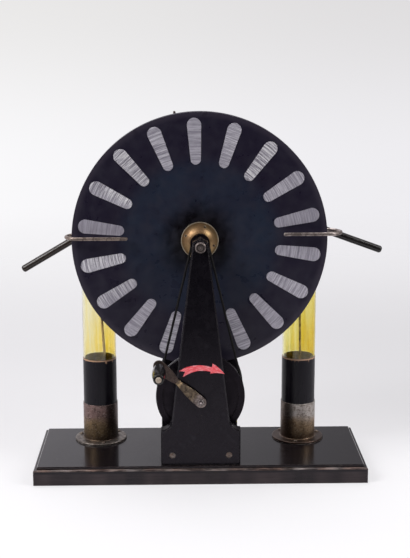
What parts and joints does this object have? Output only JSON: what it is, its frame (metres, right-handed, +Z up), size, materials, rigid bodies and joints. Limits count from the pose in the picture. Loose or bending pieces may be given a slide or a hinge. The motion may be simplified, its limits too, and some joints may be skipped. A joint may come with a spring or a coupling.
{
  "type": "hand cranked influence machine",
  "caption": "Hand-cranked electrostatic machine with two counter-turning sectored discs, Leyden jars and discharge rods on a black wooden base.",
  "frame": {"origin": "centre of the base board's underside", "axes": "+Z up, the crank side faces -Y, +X to the right as the crank side shows it"},
  "size_m": [0.4438, 0.1985, 0.4325],
  "materials": {
    "black_stained_wood": "black-stained wood, worn satin gloss",
    "black_painted_wood": "black satin paint on wood",
    "ebonite": "dark ebonite sheet with a soft bloom",
    "turned_ebonite": "turned and polished ebonite",
    "foil": "dull brushed foil",
    "aged_brass": "aged, spotted brass",
    "bronze": "mottled brown bronze",
    "dull_steel": "dull turned steel",
    "black_wheel": "black lacquer",
    "cord": "round dark cord",
    "glass": "clear glass with yellow varnish",
    "coating": "foil under black varnish",
    "inner_foil": "dull foil",
    "brush_wire": "fine brass tinsel",
    "screw_steel": "dull screw heads"
  },
  "bodies": {
    "stand": {"base_board": "black_stained_wood", "link_strip": "aged_brass", "link_bolts": "aged_brass", "foot_block": "black_stained_wood", "foot_screws": "screw_steel", "front_upright": "black_painted_wood", "rear_upright": "black_painted_wood", "front_upright_screws": "screw_steel", "rear_upright_screws": "screw_steel", "fixed_axle": "dull_steel", "axle_cap_front": "dull_steel", "axle_cap_rear": "dull_steel", "crank_bush_front": "aged_brass", "crank_bush_rear": "aged_brass", "axle_washers": "aged_brass", "front_belt": "cord", "rear_belt": "cord", "left_jar_glass": "glass", "left_jar_outer_coating": "coating", "left_jar_inner_coating": "inner_foil", "left_jar_cup": "aged_brass", "left_cup_screws": "screw_steel", "left_jar_lid": "turned_ebonite", "left_inner_rod": "aged_brass", "left_jar_head": "aged_brass", "left_collector": "aged_brass", "right_jar_glass": "glass", "right_jar_outer_coating": "coating", "right_jar_inner_coating": "inner_foil", "right_jar_cup": "aged_brass", "right_cup_screws": "screw_steel", "right_jar_lid": "turned_ebonite", "right_inner_rod": "aged_brass", "right_jar_head": "aged_brass", "right_collector": "aged_brass"},
    "front_disc": {"front_disc": "ebonite", "front_sectors": "foil", "front_boss": "aged_brass", "front_pulley": "black_wheel", "front_boss_screws": "screw_steel"},
    "rear_disc": {"rear_disc": "ebonite", "rear_sectors": "foil", "rear_boss": "aged_brass", "rear_pulley": "black_wheel", "rear_boss_screws": "screw_steel"},
    "crank": {"crank_axle": "dull_steel", "drive_wheel_front": "black_wheel", "drive_wheel_rear": "black_wheel", "crank_arm": "bronze", "crank_screw": "bronze", "grip_pin": "aged_brass", "crank_collar": "aged_brass"},
    "grip": {"crank_grip": "turned_ebonite"},
    "neutraliser": {"neutraliser_boss": "aged_brass", "neutraliser_arms": "aged_brass", "neutraliser_brushes": "brush_wire"},
    "left_rod": {"left_discharge_rod": "aged_brass", "left_discharge_handle": "turned_ebonite"},
    "right_rod": {"right_discharge_rod": "aged_brass", "right_discharge_handle": "turned_ebonite"}
  },
  "joints": [
    {"name": "front_disc_spin", "type": "hinge", "parent": "stand", "child": "front_disc", "pos_m": [0, -0.02, 0.2825], "axis": [0, 1, 0], "continuous": true},
    {"name": "rear_disc_spin", "type": "hinge", "parent": "stand", "child": "rear_disc", "pos_m": [0, -0.013, 0.2825], "axis": [0, 1, 0], "continuous": true},
    {"name": "crank_turn", "type": "hinge", "parent": "stand", "child": "crank", "pos_m": [0, -0.0165, 0.0995], "axis": [0, 1, 0], "continuous": true},
    {"name": "grip_spin", "type": "hinge", "parent": "crank", "child": "grip", "pos_m": [-0.04793, -0.0165, 0.14311], "axis": [0, 1, 0], "continuous": true},
    {"name": "left_rod_swing", "type": "hinge", "parent": "stand", "child": "left_rod", "pos_m": [-0.1235, 0.04605, 0.29], "axis": [0, -1, 0], "range_deg": [-3.5, 21]},
    {"name": "right_rod_swing", "type": "hinge", "parent": "stand", "child": "right_rod", "pos_m": [0.1235, 0.04605, 0.2945], "axis": [0, 1, 0], "range_deg": [-15, 32]},
    {"name": "neutraliser_turn", "type": "hinge", "parent": "stand", "child": "neutraliser", "pos_m": [0, 0.0156, 0.2825], "axis": [0, 1, 0], "range_deg": [-1, 23]}
  ],
  "couplings": [
    {"joint": "rear_disc_spin", "follows": "front_disc_spin", "ratio": -1},
    {"joint": "crank_turn", "follows": "front_disc_spin", "ratio": 0.17544}
  ]
}
